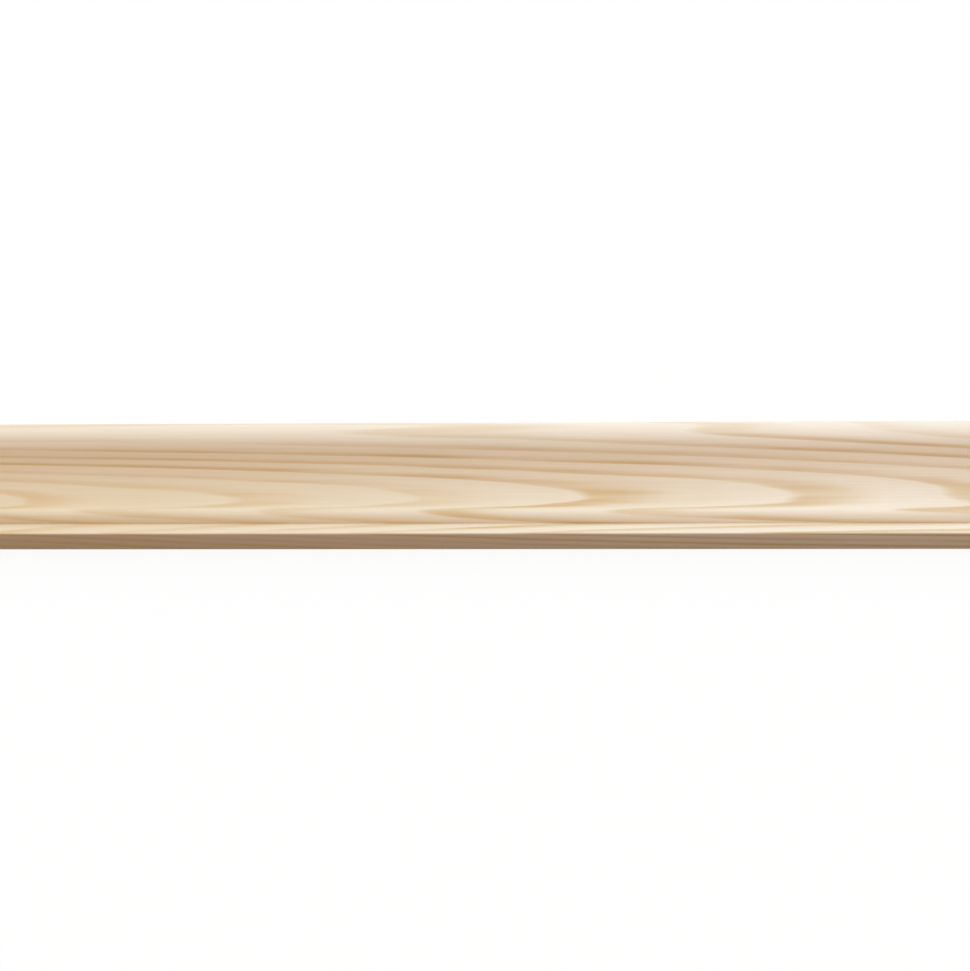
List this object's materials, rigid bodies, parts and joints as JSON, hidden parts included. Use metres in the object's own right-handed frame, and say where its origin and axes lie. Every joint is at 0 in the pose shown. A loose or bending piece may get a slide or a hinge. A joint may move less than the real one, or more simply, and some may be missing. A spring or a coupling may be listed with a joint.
{
  "type": "decorative moulding strip",
  "caption": "Straight softwood trim strip with a flat back and a face of one large rounded nose, a broad cove, a small bead and a quirk above a thin square edge.",
  "frame": {"origin": "middle of the flat back", "axes": "+X along the strip, +Y across it from the thin edge to the thick one, +Z out of the moulded face"},
  "size_m": [1, 0.035, 0.013],
  "materials": {
    "pine": "planed, unfinished"
  },
  "bodies": {
    "root": {"moulding_strip": "pine"}
  },
  "joints": []
}
